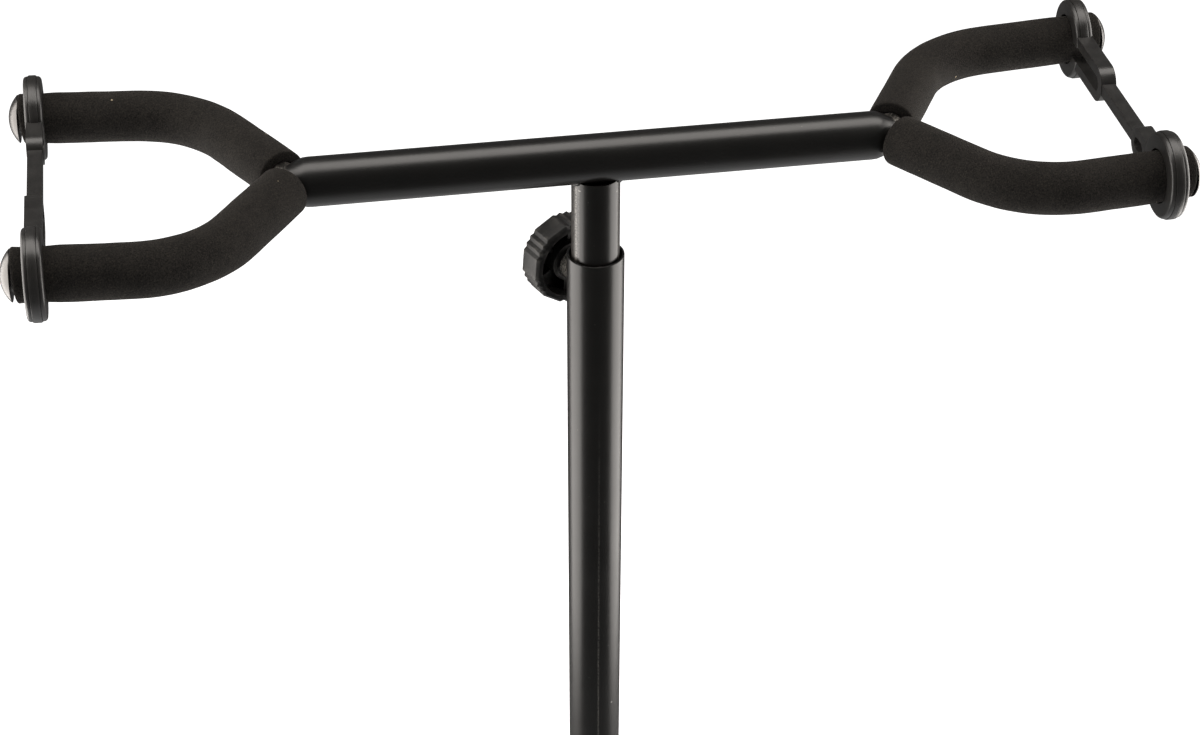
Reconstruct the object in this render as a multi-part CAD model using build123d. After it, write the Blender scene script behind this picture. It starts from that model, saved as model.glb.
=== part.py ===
"""Double hanging guitar stand: a telescopic pole on a folding tripod, with a crossbar on top
that ends in a padded yoke at each side.  Every piece is a separate solid in its own file.
Millimetres, +Z up, floor at Z = 0, crossbar along X."""
from build123d import *
from math import asin, atan2, cos, degrees, radians, sin, tan
import os

# --- pole ------------------------------------------------------------------------------------
CROSSBAR_HEIGHT = 850.0     # crossbar axis above the floor, near the lowest setting
RIM_DROP = 46.7             # outer tube's rim below the crossbar axis in that setting
OUTER_TUBE_OD = 25.4
OUTER_TUBE_WALL = 1.2
STEM_OD = 21.0
STEM_WALL = 1.2
STEM_TOP_DROP = 8.0         # its square-cut top end below the crossbar axis
STEM_LOWERING = 28.0        # how far the stem still goes down
STEM_RAISING = 250.0        # how far it goes up
STEM_OVERLAP = 90.0         # what stays inside the outer tube at full height
GUIDE_BUSH_HEIGHT = 22.0
GUIDE_BUSH_PLAY = 0.05      # radial, in the outer tube and on the stem
STEM_BEAD_STAND = 0.6       # rolled bead that the bush bears on
STEM_BEAD_WIDTH = 3.0
END_GAP = 0.3               # between faces of pieces that move past each other
PLUG_FLANGE = 3.0
PLUG_DEPTH = 14.0

# --- crossbar and yokes ------------------------------------------------------------------------
CROSSBAR_OD = 21.0
CROSSBAR_WALL = 1.5
YOKE_START = 127.3          # from the pole's axis to the point of the V
YOKE_ANGLE = 59.0           # each prong leaves the crossbar's line at this angle
YOKE_HALF_SPACING = 65.0    # from the crossbar's line to a prong's axis, past the bend
YOKE_BEND_R = 46.8
YOKE_TILT = 3.3             # the prongs rise outwards by this angle
PRONG_TIPS = {              # from the pole's axis to the end of foam and prong, after hand bending
    "left_front": 236.6,
    "left_back": 240.2,
    "right_front": 236.9,
    "right_back": 246.6,
}
PRONG_OD = 12.0
PRONG_WALL = 1.5
CROSSBAR_PAST_V = 3.0       # the swaged end reaches past the point of the V
CROSSBAR_SWAGE = 10.0
CROSSBAR_SWAGE_OD = 14.0
FOAM_OD = 22.0
FOAM_START = 8.0            # along the prong from the point of the V
CAP_DOME_R = 10.6
CAP_DOME_HEIGHT = 4.4
CAP_SPIGOT = 12.0

# --- neck strap ----------------------------------------------------------------------------------
STRAP_POSITIONS = {"left": 230.8, "right": 232.1}   # on the crossbar's line, from the pole's axis
STRAP_SKEWS = {"left": 2.4, "right": 4.1}           # back ring further out than the front one
STRAP_WIDTH = 7.6
STRAP_RING_OD = 37.0
STRAP_RING_PLAY = 0.5       # lets a skewed ring pass along the foam
STRAP_BAR_HEIGHT = 5.6
STRAP_LINK_END = 20.0       # centre of the slotted link's round end, from the crossbar's line
STRAP_LINK_R = 8.2
STRAP_SLOT_R = 3.6
STRAP_SMALL_LINK_AT = 36.5
STRAP_SMALL_LINK_R = 6.6
STRAP_SMALL_SLOT_R = 2.6
STRAP_SMALL_SLOT_RUN = 5.0
STRAP_PULL = 34.0           # outward travel that takes the rings off the prongs

# --- clamps: height clamp on the pole, collar clamp on the tripod --------------------------------
HEIGHT_CLAMP_DROP = 14.5    # screw axis below the rim
HEIGHT_CLAMP_DIRECTION = 112.0
HEIGHT_KNOB_R = 20.0
HEIGHT_KNOB_LENGTH = 13.5
HEIGHT_KNOB_GAP = 5.1       # from the tube's surface to the knob's open side
HEIGHT_KNOB_TURN = 35.0     # how the clamped knob stands, from one flat facing down
COLLAR_KNOB_R = 15.0
COLLAR_KNOB_LENGTH = 12.0
COLLAR_KNOB_GAP = 4.4       # from the collar's surface to the knob's open side
COLLAR_CLAMP_DIRECTION = 270.0
SCREW_R = 4.0
SCREW_PLAY = 0.05
SCREW_PITCH = 1.25
SCREW_TURNS = 2.0           # turns that loosen the clamp
CLAMP_NUT_R = 7.0
KNOB_WALL = 2.8
KNOB_FACE = 3.0
KNOB_BOSS_R = 9.5
KNOB_BOSS_RECESS = 2.0
KNOB_SIDES = 6
KNOB_RIDGES = 4
KNOB_RIDGE_DEPTH = 0.9
KNOB_CHAMFER = 1.2

# --- tripod ----------------------------------------------------------------------------------------
LEG_DIRECTIONS = (90.0, 210.0, 330.0)
LEG_OD = 16.0
LEG_WALL = 1.2
LEG_LENGTH = 352.0          # from the top pivot to the tube's end
LEG_OPEN = 60.0             # between leg and pole when the stand is open
LEG_FOLDED = 4.0
PIVOT_RADIUS = 30.0         # from the pole's axis to the pivots of collar and hub
BRACE_LENGTH = 130.0        # also the distance from a leg's top pivot to its brace pivot
BRACE_THICKNESS = 3.0
BRACE_HEIGHT = 16.0
TONGUE_THICKNESS = 3.0      # leg's flattened end
TONGUE_LENGTH = 34.0
TONGUE_BLEND = 10.0
SIDE_PLAY = 0.4             # between flat cheeks that turn on each other
PIN_R = 3.0
PIN_PLAY = 0.05
PIN_HEAD_R = 5.0
PIN_HEAD = 2.0
LUG_R = 6.5
LUG_CHEEK = 4.0
COLLAR_OD = 36.0
COLLAR_HEIGHT = 30.0
COLLAR_PLAY = 0.05
HUB_OD = 36.0
HUB_HEIGHT = 30.0
HUB_FLOOR = 3.0
LEG_FOAM_OD = 26.0
LEG_FOAM_START = 48.0
LEG_FOAM_TO_BRACE = 20.0
FOOT_OD = 22.0
FOOT_LENGTH = 30.0
FOOT_END = 4.0              # rubber past the tube's end
FOOT_AXIS_HEIGHT = 8.0      # leg axis above the floor at the foot's end

# --- worked out -----------------------------------------------------------------------------------
RIM_Z = CROSSBAR_HEIGHT - RIM_DROP
OUTER_R = OUTER_TUBE_OD / 2
OUTER_BORE_R = OUTER_R - OUTER_TUBE_WALL
STEM_R = STEM_OD / 2
CROSSBAR_R = CROSSBAR_OD / 2
STEM_BOTTOM = RIM_Z - STEM_RAISING - STEM_OVERLAP
HEIGHT_CLAMP_Z = RIM_Z - HEIGHT_CLAMP_DROP
LEG_R = LEG_OD / 2
COLLAR_Z = FOOT_AXIS_HEIGHT + (LEG_LENGTH + FOOT_END) * cos(radians(LEG_OPEN))
HUB_Z = COLLAR_Z - 2 * BRACE_LENGTH * cos(radians(LEG_OPEN))
TUBE_BOTTOM = HUB_Z - HUB_HEIGHT / 2 + HUB_FLOOR
COLLAR_TRAVEL = 2 * BRACE_LENGTH * (cos(radians(LEG_FOLDED)) - cos(radians(LEG_OPEN)))
BRACE_INNER = LEG_R + SIDE_PLAY


def bar(radius, start, end):
    """Round bar between two points."""
    start, end = Vector(*start), Vector(*end)
    plane = Plane(origin=start, z_dir=end - start)
    return extrude(plane * Circle(radius), (end - start).length)


def plate(outline, thickness):
    """Flat outline drawn in X-Z, made into a plate centred on Y = 0."""
    return extrude(Plane.XZ * outline, thickness / 2, both=True)


def link(start, end, half_height, thickness):
    """Flat bar with round ends between two points in X-Z."""
    run = Vector(end[0] - start[0], end[1] - start[1], 0)
    middle = ((start[0] + end[0]) / 2, (start[1] + end[1]) / 2)
    outline = SlotCenterToCenter(run.length, 2 * half_height)
    tilt = degrees(atan2(run.Y, run.X))
    return plate(Pos(*middle) * Rot(0, 0, tilt) * outline, thickness)


# --- crossbar, stem and yokes ---------------------------------------------------------------------
def crossbar_profile(inset):
    """Half outline of the crossbar, swaged to a smaller diameter at both ends."""
    end = YOKE_START + CROSSBAR_PAST_V
    shoulder = end - CROSSBAR_SWAGE
    full = CROSSBAR_R - inset
    swaged = CROSSBAR_SWAGE_OD / 2 - inset
    points = [(-end, 0), (-end, swaged), (-shoulder, full), (shoulder, full), (end, swaged), (end, 0)]
    return make_face(Polyline(*points, close=True))


def crossbar_blank():
    solid = revolve(crossbar_profile(0), Axis.X)
    return Pos(0, 0, CROSSBAR_HEIGHT) * solid


def crossbar():
    bore = revolve(crossbar_profile(CROSSBAR_WALL), Axis.X)
    return crossbar_blank() - Pos(0, 0, CROSSBAR_HEIGHT) * bore


def stem():
    """Stem tube, cut square and notched for the crossbar, with the rolled bead over the guide bush."""
    top = CROSSBAR_HEIGHT - STEM_TOP_DROP
    tube = bar(STEM_R, (0, 0, STEM_BOTTOM), (0, 0, top))
    bead_z = STEM_BOTTOM + END_GAP + GUIDE_BUSH_HEIGHT + END_GAP
    tube += bar(STEM_R + STEM_BEAD_STAND, (0, 0, bead_z), (0, 0, bead_z + STEM_BEAD_WIDTH))
    tube -= bar(STEM_R - STEM_WALL, (0, 0, STEM_BOTTOM), (0, 0, top))
    return tube - crossbar_blank()


def stem_end_plug():
    flange = bar(STEM_R + STEM_BEAD_STAND, (0, 0, STEM_BOTTOM - PLUG_FLANGE), (0, 0, STEM_BOTTOM))
    return flange + bar(STEM_R - STEM_WALL, (0, 0, STEM_BOTTOM), (0, 0, STEM_BOTTOM + PLUG_DEPTH))


def guide_bush():
    low = STEM_BOTTOM + END_GAP
    ring = bar(OUTER_BORE_R - GUIDE_BUSH_PLAY, (0, 0, low), (0, 0, low + GUIDE_BUSH_HEIGHT))
    return ring - bar(STEM_R + GUIDE_BUSH_PLAY, (0, 0, low), (0, 0, low + GUIDE_BUSH_HEIGHT))


def prong_path(start, end):
    """Centre line of one prong in its own plane: straight, one bend, straight to the tip.
    X is measured from the point of the V, and start is a length along the first run."""
    corner = (YOKE_HALF_SPACING / tan(radians(YOKE_ANGLE)), YOKE_HALF_SPACING)
    first = (start * cos(radians(YOKE_ANGLE)), start * sin(radians(YOKE_ANGLE)))
    last = (end - YOKE_START, YOKE_HALF_SPACING)
    return FilletPolyline(first, corner, last, radius=YOKE_BEND_R)


def along_prong(radius, start, end):
    path = prong_path(start, end)
    section = Plane(origin=path @ 0, z_dir=path % 0) * Circle(radius)
    return sweep(section, path=path)


def on_yoke(piece, side, depth):
    """Moves a piece from the yoke's own plane to its side of the stand.
    side is -1 for left, depth is -1 for the front prong and +1 for the back one."""
    if depth < 0:
        piece = mirror(piece, about=Plane.XZ)
    placed = Pos(YOKE_START, 0, CROSSBAR_HEIGHT) * Rot(0, -YOKE_TILT, 0) * piece
    if side < 0:
        placed = mirror(placed, about=Plane.YZ)
    return placed


def prong(tip):
    """Bent tube welded to the crossbar's swaged end, mitred against its neighbour."""
    tube = along_prong(PRONG_OD / 2, 0, tip)
    tube -= along_prong(PRONG_OD / 2 - PRONG_WALL, 0, tip)
    beyond_middle = Pos(0, -tip / 2, 0) * Box(2 * tip, tip, tip)
    return tube - beyond_middle


def prong_on_yoke(tip, side, depth):
    """The swaged end of the crossbar is cut out of the prong where they are welded."""
    placed = on_yoke(prong(tip), side, depth) - crossbar_blank()
    return max(placed.solids(), key=lambda solid: solid.volume)


def foam_sleeve(tip):
    tube = along_prong(FOAM_OD / 2, FOAM_START, tip)
    return tube - along_prong(PRONG_OD / 2, FOAM_START, tip)


def dome_cap(tip):
    """Domed end cap with a spigot in the prong's bore."""
    ball_r = (CAP_DOME_R ** 2 + CAP_DOME_HEIGHT ** 2) / (2 * CAP_DOME_HEIGHT)
    half_span = degrees(asin(CAP_DOME_R / ball_r))
    centre = CAP_DOME_HEIGHT - ball_r
    rim = (CAP_DOME_R, 0)
    dome = CenterArc((0, centre), ball_r, 90 - half_span, half_span)
    edges = [dome, Line((0, CAP_DOME_HEIGHT), (0, 0)), Line((0, 0), rim)]
    profile = Plane.XZ * make_face(edges)
    turned = revolve(profile, Axis.Z)
    turned += Pos(0, 0, -CAP_SPIGOT / 2) * Cylinder(PRONG_OD / 2 - PRONG_WALL, CAP_SPIGOT)
    return Pos(tip - YOKE_START, YOKE_HALF_SPACING, 0) * Rot(0, 90, 0) * turned


def neck_strap(position, skew):
    """Moulded rubber strap: ring, slotted link, bar, small link, ring.  Drawn in its mid-plane
    with X towards the back prong, then stood across the yoke, a little askew."""
    ring_r = STRAP_RING_OD / 2
    bore_r = FOAM_OD / 2 + STRAP_RING_PLAY
    back = YOKE_HALF_SPACING / cos(radians(skew))
    front = -back
    shape = Pos(back, 0) * Circle(ring_r) + Pos(front, 0) * Circle(ring_r)
    link_run = back - STRAP_LINK_END
    shape += Pos(back - link_run / 2, 0) * Rectangle(link_run, 2 * STRAP_LINK_R)
    shape += Pos(STRAP_LINK_END, 0) * Circle(STRAP_LINK_R)
    shape += Rectangle(2 * back, STRAP_BAR_HEIGHT)
    shape += Pos(-STRAP_SMALL_LINK_AT, 0) * Circle(STRAP_SMALL_LINK_R)
    neck_run = back - STRAP_SMALL_LINK_AT
    shape += Pos(-STRAP_SMALL_LINK_AT - neck_run / 2, 0) * Rectangle(neck_run, 2 * STRAP_SMALL_LINK_R)
    shape -= Pos(back, 0) * Circle(bore_r) + Pos(front, 0) * Circle(bore_r)
    slot = Pos(back - link_run / 2, 0) * Rectangle(link_run, 2 * STRAP_SLOT_R)
    shape -= slot + Pos(STRAP_LINK_END, 0) * Circle(STRAP_SLOT_R)
    small_run = STRAP_SMALL_SLOT_RUN
    small_slot = Pos(-STRAP_SMALL_LINK_AT - small_run / 2, 0) * SlotCenterToCenter(
        small_run, 2 * STRAP_SMALL_SLOT_R
    )
    shape -= small_slot
    solid = extrude(shape, STRAP_WIDTH / 2, both=True)
    across = (sin(radians(skew)), cos(radians(skew)), 0)
    outwards = (cos(radians(skew)), -sin(radians(skew)), 0)
    stood = Plane(origin=(position - YOKE_START, 0, 0), x_dir=across, z_dir=outwards)
    return stood * solid


# --- clamps -----------------------------------------------------------------------------------------
def knob_outline(radius):
    """Round outline with six flats, and between them groups of fine ridges."""
    step = 360 / KNOB_SIDES
    half_flat = step / 4
    ridge_step = (step - 2 * half_flat) / KNOB_RIDGES
    points = []
    for side in range(KNOB_SIDES):
        flat_end = side * step + half_flat
        points.append((radius, flat_end))
        for ridge in range(KNOB_RIDGES):
            valley = flat_end + (ridge + 0.25) * ridge_step
            points.append((radius - KNOB_RIDGE_DEPTH, valley))
            points.append((radius, valley + 0.5 * ridge_step))
    corners = [(r * cos(radians(a)), r * sin(radians(a))) for r, a in points]
    return make_face(Polyline(*corners, close=True))


def knob(radius, length):
    """Moulded knob, open towards the clamp: Z = 0 is its open side, the outer face is at length."""
    body = extrude(knob_outline(radius), length)
    cone = Cone(radius, radius - KNOB_CHAMFER, KNOB_CHAMFER, align=(Align.CENTER, Align.CENTER, Align.MIN))
    straight = length - 2 * KNOB_CHAMFER
    turned = Pos(0, 0, KNOB_CHAMFER + straight / 2) * Cylinder(radius, straight)
    turned += Pos(0, 0, length - KNOB_CHAMFER) * cone
    turned += Pos(0, 0, KNOB_CHAMFER) * Rot(180, 0, 0) * cone
    body = body & turned
    hollow = length - KNOB_FACE
    body -= Pos(0, 0, hollow / 2) * Cylinder(radius - KNOB_RIDGE_DEPTH - KNOB_WALL, hollow)
    boss_height = hollow - KNOB_BOSS_RECESS
    body += Pos(0, 0, KNOB_BOSS_RECESS + boss_height / 2) * Cylinder(KNOB_BOSS_R, boss_height)
    for side in range(KNOB_SIDES):
        rib_reach = radius - KNOB_RIDGE_DEPTH - KNOB_WALL / 2
        rib = Pos(rib_reach / 2, 0, hollow - boss_height / 4) * Box(rib_reach, 1.6, boss_height / 2)
        body += Rot(0, 0, (side + 0.5) * 360 / KNOB_SIDES) * rib
    screw_pocket = screw_seat(length)
    return body - Pos(0, 0, screw_pocket / 2) * Cylinder(SCREW_R + SCREW_PLAY, screw_pocket)


def screw_seat(length):
    """How deep the screw's end sits in the knob, from the knob's open side."""
    return length - KNOB_FACE / 2


def clamp_screw(tip, seat):
    """Screw along +Z from its tip on the clamped tube to its seat in the knob."""
    length = seat - END_GAP - tip
    point = 1.0
    shank = Pos(0, 0, tip + point + (length - point) / 2) * Cylinder(SCREW_R, length - point)
    nose = Cone(SCREW_R - point, SCREW_R, point, align=(Align.CENTER, Align.CENTER, Align.MIN))
    return shank + Pos(0, 0, tip) * nose


def clamp_place(direction, height):
    """Local +Z becomes the outward direction of the clamp, from the pole's axis."""
    return Pos(0, 0, height) * Rot(0, 0, direction) * Rot(0, 90, 0)


def clamp_nut(wall_r, length):
    """Round threaded boss on the clamped wall, coped to it."""
    nut = Pos(0, 0, length / 2) * Cylinder(CLAMP_NUT_R, length)
    nut -= Pos(0, 0, length / 2) * Cylinder(SCREW_R + SCREW_PLAY, length)
    wall = Rot(0, 90, 0) * Cylinder(wall_r, 4 * CLAMP_NUT_R)
    nut -= wall
    return nut


# --- tripod -------------------------------------------------------------------------------------------
def leg_point(distance):
    """Point on the open leg's axis in X-Z, at a distance from its top pivot."""
    open_angle = radians(LEG_OPEN)
    return (PIVOT_RADIUS + distance * sin(open_angle), COLLAR_Z - distance * cos(open_angle))


def along_leg(distance):
    x, z = leg_point(distance)
    return Plane(origin=(x, 0, z), x_dir=(0, 1, 0), z_dir=(sin(radians(LEG_OPEN)), 0, -cos(radians(LEG_OPEN))))


def leg():
    """Leg tube with its top end pressed flat, and the cross hole for the brace pin."""
    round_start = TONGUE_LENGTH + TONGUE_BLEND
    tube = extrude(along_leg(round_start) * Circle(LEG_R), LEG_LENGTH - round_start)
    tube -= extrude(along_leg(round_start) * Circle(LEG_R - LEG_WALL), LEG_LENGTH - round_start)
    flat = RectangleRounded(TONGUE_THICKNESS, LEG_OD, TONGUE_THICKNESS / 2 - 0.1)
    blend = loft([along_leg(TONGUE_LENGTH) * flat, along_leg(round_start) * Circle(LEG_R)])
    tongue = link(leg_point(0), leg_point(TONGUE_LENGTH), LEG_R, TONGUE_THICKNESS)
    trim = extrude(along_leg(TONGUE_LENGTH) * Circle(LEG_OD), LEG_OD)
    tongue -= trim
    pin_x, pin_z = leg_point(BRACE_LENGTH)
    hole = bar(PIN_R + PIN_PLAY, (pin_x, -LEG_OD, pin_z), (pin_x, LEG_OD, pin_z))
    return tube + blend + tongue - hole


def leg_foam():
    run = BRACE_LENGTH - LEG_FOAM_TO_BRACE - LEG_FOAM_START
    sleeve = extrude(along_leg(LEG_FOAM_START) * Circle(LEG_FOAM_OD / 2), run)
    return sleeve - extrude(along_leg(LEG_FOAM_START) * Circle(LEG_R), run)


def foot():
    """Rubber boot on the leg's end, with the flat that stands on the floor."""
    start = LEG_LENGTH + FOOT_END - FOOT_LENGTH
    boot = extrude(along_leg(start) * Circle(FOOT_OD / 2), FOOT_LENGTH)
    boot = fillet(boot.edges().filter_by(GeomType.CIRCLE), 2.5)
    boot -= extrude(along_leg(start) * Circle(LEG_R), FOOT_LENGTH - FOOT_END)
    below = Pos(LEG_LENGTH, 0, -FOOT_OD) * Box(2 * LEG_LENGTH, 4 * FOOT_OD, 2 * FOOT_OD)
    return boot - below


def brace():
    """Two flat bars, one on each side of the leg and of the hub's lug."""
    ends = ((PIVOT_RADIUS, HUB_Z), leg_point(BRACE_LENGTH))
    bars = link(*ends, BRACE_HEIGHT / 2, 2 * (BRACE_INNER + BRACE_THICKNESS))
    bars -= link(*ends, BRACE_HEIGHT, 2 * BRACE_INNER)
    for x, z in ends:
        width = BRACE_INNER + BRACE_THICKNESS
        bars -= bar(PIN_R, (x, -width, z), (x, width, z))
    return bars


def headed_pin(x, z, half_width):
    reach = half_width + PIN_HEAD
    pin = bar(PIN_R, (x, -reach, z), (x, reach, z))
    for side in (-1, 1):
        pin += bar(PIN_HEAD_R, (x, side * half_width, z), (x, side * reach, z))
    return pin


def brace_pins():
    width = BRACE_INNER + BRACE_THICKNESS
    at_hub = headed_pin(PIVOT_RADIUS, HUB_Z, width)
    at_leg = headed_pin(*leg_point(BRACE_LENGTH), width)
    return Compound([at_hub.solid(), at_leg.solid()])


def base_hub():
    """Moulded hub on the pole's lower end, with one solid lug for each brace."""
    low = HUB_Z - HUB_HEIGHT / 2
    hub = bar(HUB_OD / 2, (0, 0, low), (0, 0, low + HUB_HEIGHT))
    for direction in LEG_DIRECTIONS:
        lug = link((0, HUB_Z), (PIVOT_RADIUS, HUB_Z), LUG_R, 2 * LEG_R)
        lug -= bar(PIN_R + PIN_PLAY, (PIVOT_RADIUS, -LEG_OD, HUB_Z), (PIVOT_RADIUS, LEG_OD, HUB_Z))
        hub += Rot(0, 0, direction) * lug
    return hub - bar(OUTER_R, (0, 0, TUBE_BOTTOM), (0, 0, low + HUB_HEIGHT))


def outer_tube():
    tube = bar(OUTER_R, (0, 0, TUBE_BOTTOM), (0, 0, RIM_Z))
    tube -= bar(OUTER_BORE_R, (0, 0, TUBE_BOTTOM), (0, 0, RIM_Z))
    hole = Pos(0, 0, OUTER_R) * Cylinder(SCREW_R + SCREW_PLAY, OUTER_R)
    return tube - clamp_place(HEIGHT_CLAMP_DIRECTION, HEIGHT_CLAMP_Z) * hole


def lug_gap():
    return TONGUE_THICKNESS / 2 + SIDE_PLAY


def collar():
    """Sliding collar with a pair of cheeks for each leg's flattened end."""
    low = COLLAR_Z - COLLAR_HEIGHT / 2
    body = bar(COLLAR_OD / 2, (0, 0, low), (0, 0, low + COLLAR_HEIGHT))
    gap, reach = lug_gap(), PIVOT_RADIUS + LUG_R
    for direction in LEG_DIRECTIONS:
        cheeks = link((0, COLLAR_Z), (PIVOT_RADIUS, COLLAR_Z), LUG_R, 2 * (gap + LUG_CHEEK))
        cheeks -= Pos(COLLAR_OD / 2 + reach / 2, 0, COLLAR_Z) * Box(reach, 2 * gap, COLLAR_HEIGHT)
        cheeks -= bar(PIN_R, (PIVOT_RADIUS, -reach, COLLAR_Z), (PIVOT_RADIUS, reach, COLLAR_Z))
        body += Rot(0, 0, direction) * cheeks
    body -= bar(OUTER_R + COLLAR_PLAY, (0, 0, low), (0, 0, low + COLLAR_HEIGHT))
    hole = Pos(0, 0, COLLAR_OD / 2) * Cylinder(CLAMP_NUT_R, COLLAR_OD)
    return body - clamp_place(COLLAR_CLAMP_DIRECTION, COLLAR_Z) * hole


def collar_rivets():
    """Both ends of the rivet at each leg's top pivot; its middle is part of the leg's flat end."""
    gap = lug_gap()
    ends = []
    for direction in LEG_DIRECTIONS:
        for side in (-1, 1):
            inner, cheek = side * gap, side * (gap + LUG_CHEEK)
            end = bar(PIN_R, (PIVOT_RADIUS, inner, COLLAR_Z), (PIVOT_RADIUS, cheek, COLLAR_Z))
            head = side * (gap + LUG_CHEEK + PIN_HEAD)
            end += bar(PIN_HEAD_R, (PIVOT_RADIUS, cheek, COLLAR_Z), (PIVOT_RADIUS, head, COLLAR_Z))
            ends.append((Rot(0, 0, direction) * end).solid())
    return Compound(ends)


def collar_insert():
    """Threaded insert moulded into the collar for its clamp screw."""
    outer = COLLAR_OD / 2 + 1.0
    insert = Pos(0, 0, outer / 2) * Cylinder(CLAMP_NUT_R, outer)
    insert -= Pos(0, 0, outer / 2) * Cylinder(SCREW_R + SCREW_PLAY, outer)
    place = clamp_place(COLLAR_CLAMP_DIRECTION, COLLAR_Z)
    low, high = COLLAR_Z - COLLAR_HEIGHT / 2, COLLAR_Z + COLLAR_HEIGHT / 2
    return place * insert - bar(OUTER_R + COLLAR_PLAY, (0, 0, low), (0, 0, high))


# --- assembly ------------------------------------------------------------------------------------------
def build():
    parts = {
        "outer_tube": outer_tube(),
        "base_hub": base_hub(),
        "guide_bush": guide_bush(),
        "stem": stem(),
        "stem_end_plug": stem_end_plug(),
        "crossbar": crossbar(),
    }
    for side, side_name in ((-1, "left"), (1, "right")):
        for depth, depth_name in ((-1, "front"), (1, "back")):
            label = side_name + "_" + depth_name
            tip = PRONG_TIPS[label]
            parts["prong_" + label] = prong_on_yoke(tip, side, depth)
            parts["foam_sleeve_" + label] = on_yoke(foam_sleeve(tip), side, depth)
            parts["dome_cap_" + label] = on_yoke(dome_cap(tip), side, depth)
        strap = neck_strap(STRAP_POSITIONS[side_name], STRAP_SKEWS[side_name])
        parts["neck_strap_" + side_name] = on_yoke(strap, side, 1)

    place = clamp_place(HEIGHT_CLAMP_DIRECTION, HEIGHT_CLAMP_Z)
    knob_at = OUTER_R + HEIGHT_KNOB_GAP
    nut_end = knob_at + KNOB_BOSS_RECESS - 4 * END_GAP
    parts["clamp_nut"] = place * clamp_nut(OUTER_R, nut_end)
    seat = knob_at + screw_seat(HEIGHT_KNOB_LENGTH)
    parts["height_screw"] = place * clamp_screw(STEM_R + SCREW_PLAY, seat)
    height_knob = Rot(0, 0, HEIGHT_KNOB_TURN) * knob(HEIGHT_KNOB_R, HEIGHT_KNOB_LENGTH)
    parts["height_knob"] = place * Pos(0, 0, knob_at) * height_knob

    place = clamp_place(COLLAR_CLAMP_DIRECTION, COLLAR_Z)
    knob_at = COLLAR_OD / 2 + COLLAR_KNOB_GAP
    seat = knob_at + screw_seat(COLLAR_KNOB_LENGTH)
    parts["collar"] = collar()
    parts["collar_insert"] = collar_insert()
    parts["collar_rivets"] = collar_rivets()
    parts["collar_screw"] = place * clamp_screw(OUTER_R + SCREW_PLAY, seat)
    parts["collar_knob"] = place * Pos(0, 0, knob_at) * knob(COLLAR_KNOB_R, COLLAR_KNOB_LENGTH)

    for number, direction in enumerate(LEG_DIRECTIONS, start=1):
        turn = Rot(0, 0, direction)
        parts[f"leg_{number}"] = turn * leg()
        parts[f"leg_foam_{number}"] = turn * leg_foam()
        parts[f"foot_{number}"] = turn * foot()
        parts[f"brace_{number}"] = turn * brace()
        parts[f"brace_pins_{number}"] = turn * brace_pins()

    # The origin goes to the middle of the stand's outline on the floor.
    centre = Compound(list(parts.values())).bounding_box().center()
    return {name: Pos(-centre.X, -centre.Y, 0) * part for name, part in parts.items()}, centre


if __name__ == "__main__":
    os.makedirs("parts", exist_ok=True)
    finished, middle = build()
    for node, part in finished.items():
        export_step(part, f"parts/{node}.step")
    print(len(finished), "nodes; pole axis at", -middle.X, -middle.Y)
    print("height travel", -STEM_LOWERING, STEM_RAISING, "collar travel", COLLAR_TRAVEL)
    print("strap pull", STRAP_PULL, "clamp travel", SCREW_PITCH * SCREW_TURNS)
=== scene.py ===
"""Double hanging guitar stand: telescopic pole, crossbar with two padded yokes, folding tripod."""
from math import cos, pi, radians, sin, sqrt, tan

import bpy
from mathutils import Matrix, Vector


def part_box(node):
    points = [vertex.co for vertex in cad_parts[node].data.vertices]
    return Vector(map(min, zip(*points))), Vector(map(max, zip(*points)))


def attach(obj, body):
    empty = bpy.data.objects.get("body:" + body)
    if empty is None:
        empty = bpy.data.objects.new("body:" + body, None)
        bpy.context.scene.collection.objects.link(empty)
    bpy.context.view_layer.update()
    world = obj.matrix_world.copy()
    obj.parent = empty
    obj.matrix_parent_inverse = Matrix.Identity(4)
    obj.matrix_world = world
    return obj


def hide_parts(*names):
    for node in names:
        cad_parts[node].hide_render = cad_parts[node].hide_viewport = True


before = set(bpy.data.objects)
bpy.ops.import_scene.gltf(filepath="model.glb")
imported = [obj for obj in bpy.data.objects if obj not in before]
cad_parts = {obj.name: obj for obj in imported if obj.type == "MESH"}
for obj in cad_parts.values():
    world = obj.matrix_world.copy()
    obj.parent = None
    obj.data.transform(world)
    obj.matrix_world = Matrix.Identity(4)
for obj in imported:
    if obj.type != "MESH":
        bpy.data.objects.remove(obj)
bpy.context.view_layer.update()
bpy.ops.object.select_all(action="DESELECT")

# --- Outer tube ------------------------------------------------------------------------------------
# The pole is a one inch steel tube with a thin wall, cut square at the top, drilled for the height
# clamp's screw and sprayed satin black. Its rim is only deburred, and its thin lip round the stem is
# painted lighter, partly as worn paint and partly as a painted highlight.
tube_low, tube_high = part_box("outer_tube")
POLE = (tube_low + tube_high) / 2
TUBE_R = (tube_high.x - tube_low.x) / 2
TUBE_WALL = 0.0012
RIM_ROUND = 0.0004
CLAMP_HOLE_R = 0.00405
CLAMP_DROP = 0.0145
CLAMP_TURN = radians(112)
MERGE = 0.000001


def edit(piece):
    """Opens one piece alone in edit mode."""
    if bpy.context.mode != "OBJECT":
        bpy.ops.object.mode_set(mode="OBJECT")
    bpy.ops.object.select_all(action="DESELECT")
    piece.select_set(True)
    bpy.context.view_layer.objects.active = piece
    bpy.ops.object.mode_set(mode="EDIT")


def pick(piece, wanted):
    """Selects the faces whose middle and normal pass the test, ready for an edit."""
    edit(piece)
    bpy.ops.mesh.select_mode(type="FACE")
    bpy.ops.mesh.select_all(action="DESELECT")
    bpy.ops.object.mode_set(mode="OBJECT")
    for face in piece.data.polygons:
        face.select = bool(wanted(face.center, face.normal))
    bpy.ops.object.mode_set(mode="EDIT")


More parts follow.
